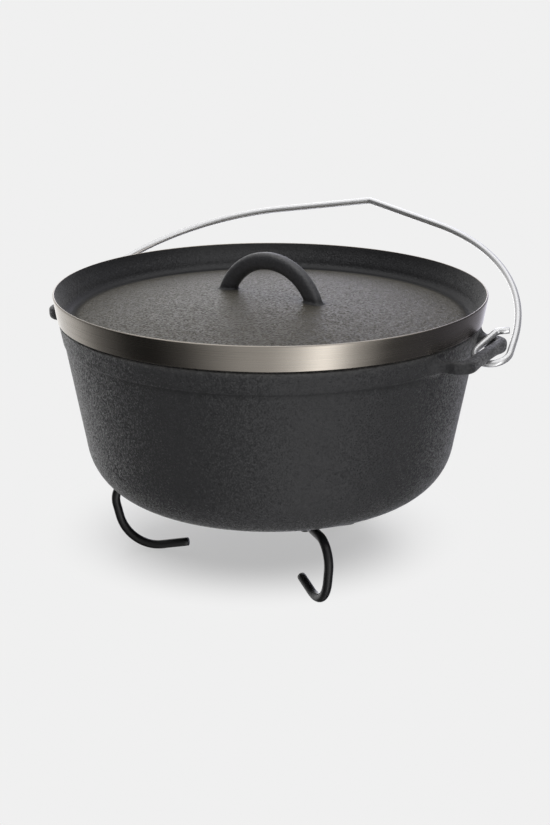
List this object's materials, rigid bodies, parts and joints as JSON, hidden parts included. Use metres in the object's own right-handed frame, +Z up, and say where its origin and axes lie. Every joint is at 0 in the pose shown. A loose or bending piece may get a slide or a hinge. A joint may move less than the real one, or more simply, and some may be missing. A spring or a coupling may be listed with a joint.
{
  "type": "camp dutch oven",
  "caption": "Cast iron camp oven with a deep pot, a flanged lid that holds coals, a swinging wire bail and folding wire legs.",
  "frame": {"origin": "on the ground under the pot's axis", "axes": "+Z up, +X towards one ear along the line through both ears, +Y to the side that the resting bail leans to"},
  "size_m": [0.354, 0.3244, 0.2383],
  "materials": {
    "pot": "seasoned sand casting",
    "lid": "sand casting with a machined band",
    "bail": "bright drawn wire",
    "legs": "black satin wire"
  },
  "bodies": {
    "pot": {"pot": "pot"},
    "lid": {"lid": "lid"},
    "bail": {"bail": "bail"},
    "leg_front": {"leg_front": "legs"},
    "leg_left": {"leg_left": "legs"},
    "leg_rear": {"leg_rear": "legs"}
  },
  "joints": [
    {"name": "lid_lift", "type": "slide", "parent": "pot", "child": "lid", "axis": [0, 0, 1], "range_m": [0, 0.2]},
    {"name": "bail_swing", "type": "hinge", "parent": "pot", "child": "bail", "pos_m": [0, 0.0172, 0.17462], "axis": [1, 0, 0], "range_deg": [0, 126]},
    {"name": "leg_front_fold", "type": "hinge", "parent": "pot", "child": "leg_front", "pos_m": [0, 0, 0.05222], "axis": [-0.7278, 0.6858, 0], "range_deg": [0, 92]},
    {"name": "leg_left_fold", "type": "hinge", "parent": "pot", "child": "leg_left", "pos_m": [0, 0, 0.05222], "axis": [0.9578, 0.2874, 0], "range_deg": [0, 92]},
    {"name": "leg_rear_fold", "type": "hinge", "parent": "pot", "child": "leg_rear", "pos_m": [0, 0, 0.05222], "axis": [-0.23, -0.9732, 0], "range_deg": [0, 92]}
  ]
}
